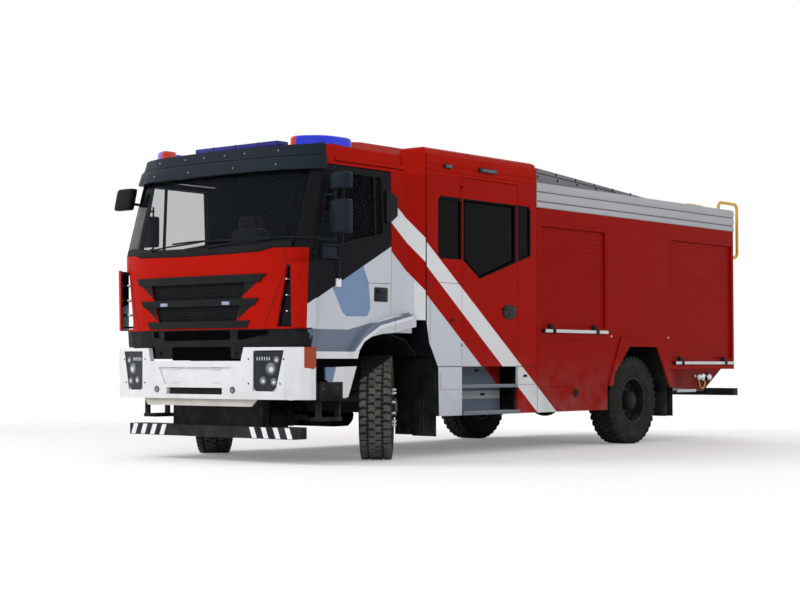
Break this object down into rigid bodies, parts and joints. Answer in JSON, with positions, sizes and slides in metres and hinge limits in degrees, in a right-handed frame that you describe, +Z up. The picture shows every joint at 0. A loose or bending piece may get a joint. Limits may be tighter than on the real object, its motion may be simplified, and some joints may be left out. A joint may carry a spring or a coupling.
{
  "type": "fire tanker truck",
  "caption": "Fire tanker truck with a forward-control cab, a crew cabin with side doors and steps, a closed tank body with roller shutters, and steered front wheels.",
  "frame": {"origin": "on the ground below the middle of the truck's box", "axes": "+X forward, +Y to the truck's left, +Z up"},
  "size_m": [8.47, 2.946, 3.05],
  "materials": {
    "chassis": "satin black paint",
    "engine": "dark grey",
    "rim": "black paint",
    "tyre": "black rubber",
    "black": "matt black",
    "silver": "silver white paint",
    "red": "gloss red paint",
    "trim": "dark grey",
    "glass": "clear, dark tint",
    "anthracite": "satin anthracite",
    "blue": "clear blue lens",
    "white": "gloss white paint",
    "lamp": "dark lamp housing",
    "seat": "dark grey cloth",
    "tread": "checkered plate",
    "aluminium": "brushed",
    "yellow": "yellow paint"
  },
  "bodies": {
    "truck": {"chassis_frame": "chassis", "bearers": "chassis", "axles": "chassis", "leaf_springs": "chassis", "driveline": "engine", "cab_floor": "black", "cab_back": "red", "cab_pillars": "black", "cab_roof": "red", "front_panel": "red", "corner_ducts": "black", "corner_vanes": "red", "grille": "trim", "windscreen": "glass", "visor": "anthracite", "beacons": "blue", "bumper": "white", "lamps": "lamp", "underrun_bars": "chassis", "mudguards": "black", "dashboard": "trim", "seats": "seat", "crew_floor": "tread", "crew_walls": "red", "crew_roof": "red", "crew_glass": "glass", "tank_body": "red", "side_lockers": "red", "cornices": "aluminium", "roof_plates": "aluminium", "shutters": "red", "ladder": "aluminium", "hand_rails": "yellow"},
    "knuckle_left": {"knuckle_left": "chassis"},
    "knuckle_right": {"knuckle_right": "chassis"},
    "front_wheel_left": {"wheel_front_left": "rim", "tyre_front_left": "tyre"},
    "front_wheel_right": {"wheel_front_right": "rim", "tyre_front_right": "tyre"},
    "rear_wheel_left": {"wheel_rear_left": "rim", "tyre_rear_left": "tyre"},
    "rear_wheel_right": {"wheel_rear_right": "rim", "tyre_rear_right": "tyre"},
    "cab_door_left": {"door_left": "silver", "door_glass_left": "glass", "mirrors_left": "black"},
    "cab_door_right": {"door_right": "silver", "door_glass_right": "glass", "mirrors_right": "black"},
    "crew_door_left_body": {"crew_door_left": "red", "crew_door_glass_left": "glass"},
    "crew_door_right_body": {"crew_door_right": "red", "crew_door_glass_right": "glass"}
  },
  "joints": [
    {"name": "steer_left", "type": "hinge", "parent": "truck", "child": "knuckle_left", "pos_m": [2.875, 0.948, 0.5], "axis": [0, 0, 1], "range_deg": [-76, 0]},
    {"name": "steer_right", "type": "hinge", "parent": "truck", "child": "knuckle_right", "pos_m": [2.875, -0.948, 0.5], "axis": [0, 0, 1], "range_deg": [-76, 0]},
    {"name": "spin_front_left", "type": "hinge", "parent": "knuckle_left", "child": "front_wheel_left", "pos_m": [2.80728, 1.03468, 0.5], "axis": [-0.6157, 0.788, 0], "continuous": true},
    {"name": "spin_front_right", "type": "hinge", "parent": "knuckle_right", "child": "front_wheel_right", "pos_m": [2.94272, -1.03468, 0.5], "axis": [-0.6157, 0.788, 0], "continuous": true},
    {"name": "spin_rear_left", "type": "hinge", "parent": "truck", "child": "rear_wheel_left", "pos_m": [-1.515, 1.082, 0.5], "axis": [0, 1, 0], "continuous": true},
    {"name": "spin_rear_right", "type": "hinge", "parent": "truck", "child": "rear_wheel_right", "pos_m": [-1.515, -1.082, 0.5], "axis": [0, 1, 0], "continuous": true},
    {"name": "cab_door_left_hinge", "type": "hinge", "parent": "truck", "child": "cab_door_left", "pos_m": [3.913, 1.228, 1.9], "axis": [0, 0, -1], "range_deg": [0, 75]},
    {"name": "cab_door_right_hinge", "type": "hinge", "parent": "truck", "child": "cab_door_right", "pos_m": [3.913, -1.228, 1.9], "axis": [0, 0, 1], "range_deg": [0, 75]},
    {"name": "crew_door_left_hinge", "type": "hinge", "parent": "truck", "child": "crew_door_left_body", "pos_m": [1.768, 1.283, 1.8], "axis": [0, 0, -1], "range_deg": [0, 80]},
    {"name": "crew_door_right_hinge", "type": "hinge", "parent": "truck", "child": "crew_door_right_body", "pos_m": [1.768, -1.283, 1.8], "axis": [0, 0, 1], "range_deg": [0, 80]}
  ],
  "couplings": [
    {"joint": "steer_right", "follows": "steer_left", "ratio": 1}
  ]
}
